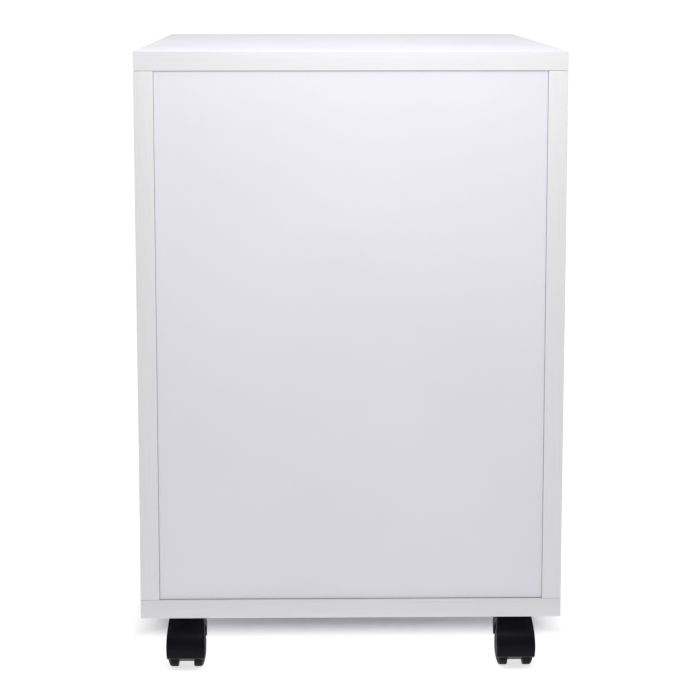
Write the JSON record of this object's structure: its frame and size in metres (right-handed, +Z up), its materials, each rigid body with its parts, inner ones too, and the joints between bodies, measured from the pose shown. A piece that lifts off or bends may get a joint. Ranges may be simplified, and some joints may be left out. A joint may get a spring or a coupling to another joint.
{
  "type": "rolling pedestal cabinet",
  "caption": "White board pedestal cabinet on twin-wheel castors: a box drawer over a file drawer on roller runners, D pulls and a cam lock, with a plain inset back panel.",
  "frame": {"origin": "centre of the outer box on the floor, under the wheels", "axes": "+Z up, drawers open towards -Y, back panel at +Y, +X to the right of someone facing the drawers"},
  "size_m": [0.4, 0.588, 0.591],
  "materials": {
    "white_board": "white melamine faced chipboard with a smooth white edge band",
    "drawer_board": "white foil faced drawer board, matt",
    "epoxy_steel": "white epoxy powder coat",
    "roller_nylon": "natural white nylon",
    "zinc_steel": "bright zinc plate",
    "satin_nickel": "satin nickel plate",
    "castor_nylon": "black moulded nylon, satin",
    "wheel_nylon": "black nylon wheel with a smooth tread"
  },
  "bodies": {
    "root": {"top_panel": "white_board", "bottom_panel": "white_board", "side_panel_left": "white_board", "side_panel_right": "white_board", "back_panel": "white_board", "front_rail": "white_board", "cabinet_runner_box_left": "epoxy_steel", "cabinet_runner_box_right": "epoxy_steel", "cabinet_runner_file_left": "epoxy_steel", "cabinet_runner_file_right": "epoxy_steel", "castor_plate_front_left": "zinc_steel", "castor_plate_front_right": "zinc_steel", "castor_plate_rear_left": "zinc_steel", "castor_plate_rear_right": "zinc_steel"},
    "box_drawer": {"box_drawer_front": "white_board", "box_drawer_side_left": "drawer_board", "box_drawer_runner_left": "epoxy_steel", "box_drawer_side_right": "drawer_board", "box_drawer_runner_right": "epoxy_steel", "box_drawer_back": "drawer_board", "box_drawer_bottom": "drawer_board", "box_drawer_pull": "satin_nickel", "lock_barrel": "satin_nickel"},
    "file_drawer": {"file_drawer_front": "white_board", "file_drawer_side_left": "drawer_board", "file_drawer_runner_left": "epoxy_steel", "file_drawer_side_right": "drawer_board", "file_drawer_runner_right": "epoxy_steel", "file_drawer_back": "drawer_board", "file_drawer_bottom": "drawer_board", "file_drawer_pull": "satin_nickel", "folder_rail_left": "epoxy_steel", "folder_rail_right": "epoxy_steel"},
    "cabinet_roller_box_left": {"cabinet_roller_box_left": "roller_nylon"},
    "box_drawer_roller_left": {"box_drawer_roller_left": "roller_nylon"},
    "cabinet_roller_box_right": {"cabinet_roller_box_right": "roller_nylon"},
    "box_drawer_roller_right": {"box_drawer_roller_right": "roller_nylon"},
    "cabinet_roller_file_left": {"cabinet_roller_file_left": "roller_nylon"},
    "file_drawer_roller_left": {"file_drawer_roller_left": "roller_nylon"},
    "cabinet_roller_file_right": {"cabinet_roller_file_right": "roller_nylon"},
    "file_drawer_roller_right": {"file_drawer_roller_right": "roller_nylon"},
    "lock_plug": {"lock_plug": "satin_nickel"},
    "castor_front_left": {"castor_housing_front_left": "castor_nylon", "castor_axle_front_left": "zinc_steel"},
    "castor_wheel_front_left_a": {"castor_wheel_front_left_a": "wheel_nylon"},
    "castor_wheel_front_left_b": {"castor_wheel_front_left_b": "wheel_nylon"},
    "brake_lever_front_left": {"brake_lever_front_left": "castor_nylon"},
    "castor_front_right": {"castor_housing_front_right": "castor_nylon", "castor_axle_front_right": "zinc_steel"},
    "castor_wheel_front_right_a": {"castor_wheel_front_right_a": "wheel_nylon"},
    "castor_wheel_front_right_b": {"castor_wheel_front_right_b": "wheel_nylon"},
    "brake_lever_front_right": {"brake_lever_front_right": "castor_nylon"},
    "castor_rear_left": {"castor_housing_rear_left": "castor_nylon", "castor_axle_rear_left": "zinc_steel"},
    "castor_wheel_rear_left_a": {"castor_wheel_rear_left_a": "wheel_nylon"},
    "castor_wheel_rear_left_b": {"castor_wheel_rear_left_b": "wheel_nylon"},
    "castor_rear_right": {"castor_housing_rear_right": "castor_nylon", "castor_axle_rear_right": "zinc_steel"},
    "castor_wheel_rear_right_a": {"castor_wheel_rear_right_a": "wheel_nylon"},
    "castor_wheel_rear_right_b": {"castor_wheel_rear_right_b": "wheel_nylon"}
  },
  "joints": [
    {"name": "box_drawer_slide", "type": "slide", "parent": "root", "child": "box_drawer", "axis": [0, -1, 0], "range_m": [0, 0.38]},
    {"name": "file_drawer_slide", "type": "slide", "parent": "root", "child": "file_drawer", "axis": [0, -1, 0], "range_m": [0, 0.38]},
    {"name": "cabinet_roller_box_left_turn", "type": "hinge", "parent": "root", "child": "cabinet_roller_box_left", "pos_m": [-0.176, -0.234, 0.402], "axis": [1, 0, 0], "continuous": true},
    {"name": "box_drawer_roller_left_turn", "type": "hinge", "parent": "box_drawer", "child": "box_drawer_roller_left", "pos_m": [-0.176, 0.244, 0.402], "axis": [1, 0, 0], "continuous": true},
    {"name": "cabinet_roller_box_right_turn", "type": "hinge", "parent": "root", "child": "cabinet_roller_box_right", "pos_m": [0.176, -0.234, 0.402], "axis": [1, 0, 0], "continuous": true},
    {"name": "box_drawer_roller_right_turn", "type": "hinge", "parent": "box_drawer", "child": "box_drawer_roller_right", "pos_m": [0.176, 0.244, 0.402], "axis": [1, 0, 0], "continuous": true},
    {"name": "cabinet_roller_file_left_turn", "type": "hinge", "parent": "root", "child": "cabinet_roller_file_left", "pos_m": [-0.176, -0.234, 0.084], "axis": [1, 0, 0], "continuous": true},
    {"name": "file_drawer_roller_left_turn", "type": "hinge", "parent": "file_drawer", "child": "file_drawer_roller_left", "pos_m": [-0.176, 0.244, 0.084], "axis": [1, 0, 0], "continuous": true},
    {"name": "cabinet_roller_file_right_turn", "type": "hinge", "parent": "root", "child": "cabinet_roller_file_right", "pos_m": [0.176, -0.234, 0.084], "axis": [1, 0, 0], "continuous": true},
    {"name": "file_drawer_roller_right_turn", "type": "hinge", "parent": "file_drawer", "child": "file_drawer_roller_right", "pos_m": [0.176, 0.244, 0.084], "axis": [1, 0, 0], "continuous": true},
    {"name": "lock_turn", "type": "hinge", "parent": "box_drawer", "child": "lock_plug", "pos_m": [0.12, -0.252, 0.535], "axis": [0, -1, 0], "range_deg": [0, 90]},
    {"name": "swivel_front_left", "type": "hinge", "parent": "root", "child": "castor_front_left", "pos_m": [-0.158, -0.204, 0.045], "axis": [0, 0, 1], "continuous": true},
    {"name": "wheel_front_left_a", "type": "hinge", "parent": "castor_front_left", "child": "castor_wheel_front_left_a", "pos_m": [-0.158, -0.222, 0.02], "axis": [1, 0, 0], "continuous": true},
    {"name": "wheel_front_left_b", "type": "hinge", "parent": "castor_front_left", "child": "castor_wheel_front_left_b", "pos_m": [-0.158, -0.222, 0.02], "axis": [1, 0, 0], "continuous": true},
    {"name": "brake_front_left", "type": "hinge", "parent": "castor_front_left", "child": "brake_lever_front_left", "pos_m": [-0.158, -0.225, 0.0434], "axis": [1, 0, 0], "range_deg": [0, 14]},
    {"name": "swivel_front_right", "type": "hinge", "parent": "root", "child": "castor_front_right", "pos_m": [0.158, -0.204, 0.045], "axis": [0, 0, 1], "continuous": true},
    {"name": "wheel_front_right_a", "type": "hinge", "parent": "castor_front_right", "child": "castor_wheel_front_right_a", "pos_m": [0.158, -0.222, 0.02], "axis": [1, 0, 0], "continuous": true},
    {"name": "wheel_front_right_b", "type": "hinge", "parent": "castor_front_right", "child": "castor_wheel_front_right_b", "pos_m": [0.158, -0.222, 0.02], "axis": [1, 0, 0], "continuous": true},
    {"name": "brake_front_right", "type": "hinge", "parent": "castor_front_right", "child": "brake_lever_front_right", "pos_m": [0.158, -0.225, 0.0434], "axis": [1, 0, 0], "range_deg": [0, 14]},
    {"name": "swivel_rear_left", "type": "hinge", "parent": "root", "child": "castor_rear_left", "pos_m": [-0.158, 0.252, 0.045], "axis": [0, 0, 1], "continuous": true},
    {"name": "wheel_rear_left_a", "type": "hinge", "parent": "castor_rear_left", "child": "castor_wheel_rear_left_a", "pos_m": [-0.158, 0.27, 0.02], "axis": [1, 0, 0], "continuous": true},
    {"name": "wheel_rear_left_b", "type": "hinge", "parent": "castor_rear_left", "child": "castor_wheel_rear_left_b", "pos_m": [-0.158, 0.27, 0.02], "axis": [1, 0, 0], "continuous": true},
    {"name": "swivel_rear_right", "type": "hinge", "parent": "root", "child": "castor_rear_right", "pos_m": [0.158, 0.252, 0.045], "axis": [0, 0, 1], "continuous": true},
    {"name": "wheel_rear_right_a", "type": "hinge", "parent": "castor_rear_right", "child": "castor_wheel_rear_right_a", "pos_m": [0.158, 0.27, 0.02], "axis": [1, 0, 0], "continuous": true},
    {"name": "wheel_rear_right_b", "type": "hinge", "parent": "castor_rear_right", "child": "castor_wheel_rear_right_b", "pos_m": [0.158, 0.27, 0.02], "axis": [1, 0, 0], "continuous": true}
  ],
  "couplings": [
    {"joint": "cabinet_roller_box_left_turn", "follows": "box_drawer_slide", "rad_per_m": 111.11},
    {"joint": "box_drawer_roller_left_turn", "follows": "box_drawer_slide", "rad_per_m": 111.11},
    {"joint": "cabinet_roller_box_right_turn", "follows": "box_drawer_slide", "rad_per_m": 111.11},
    {"joint": "box_drawer_roller_right_turn", "follows": "box_drawer_slide", "rad_per_m": 111.11},
    {"joint": "cabinet_roller_file_left_turn", "follows": "file_drawer_slide", "rad_per_m": 111.11},
    {"joint": "file_drawer_roller_left_turn", "follows": "file_drawer_slide", "rad_per_m": 111.11},
    {"joint": "cabinet_roller_file_right_turn", "follows": "file_drawer_slide", "rad_per_m": 111.11},
    {"joint": "file_drawer_roller_right_turn", "follows": "file_drawer_slide", "rad_per_m": 111.11}
  ]
}
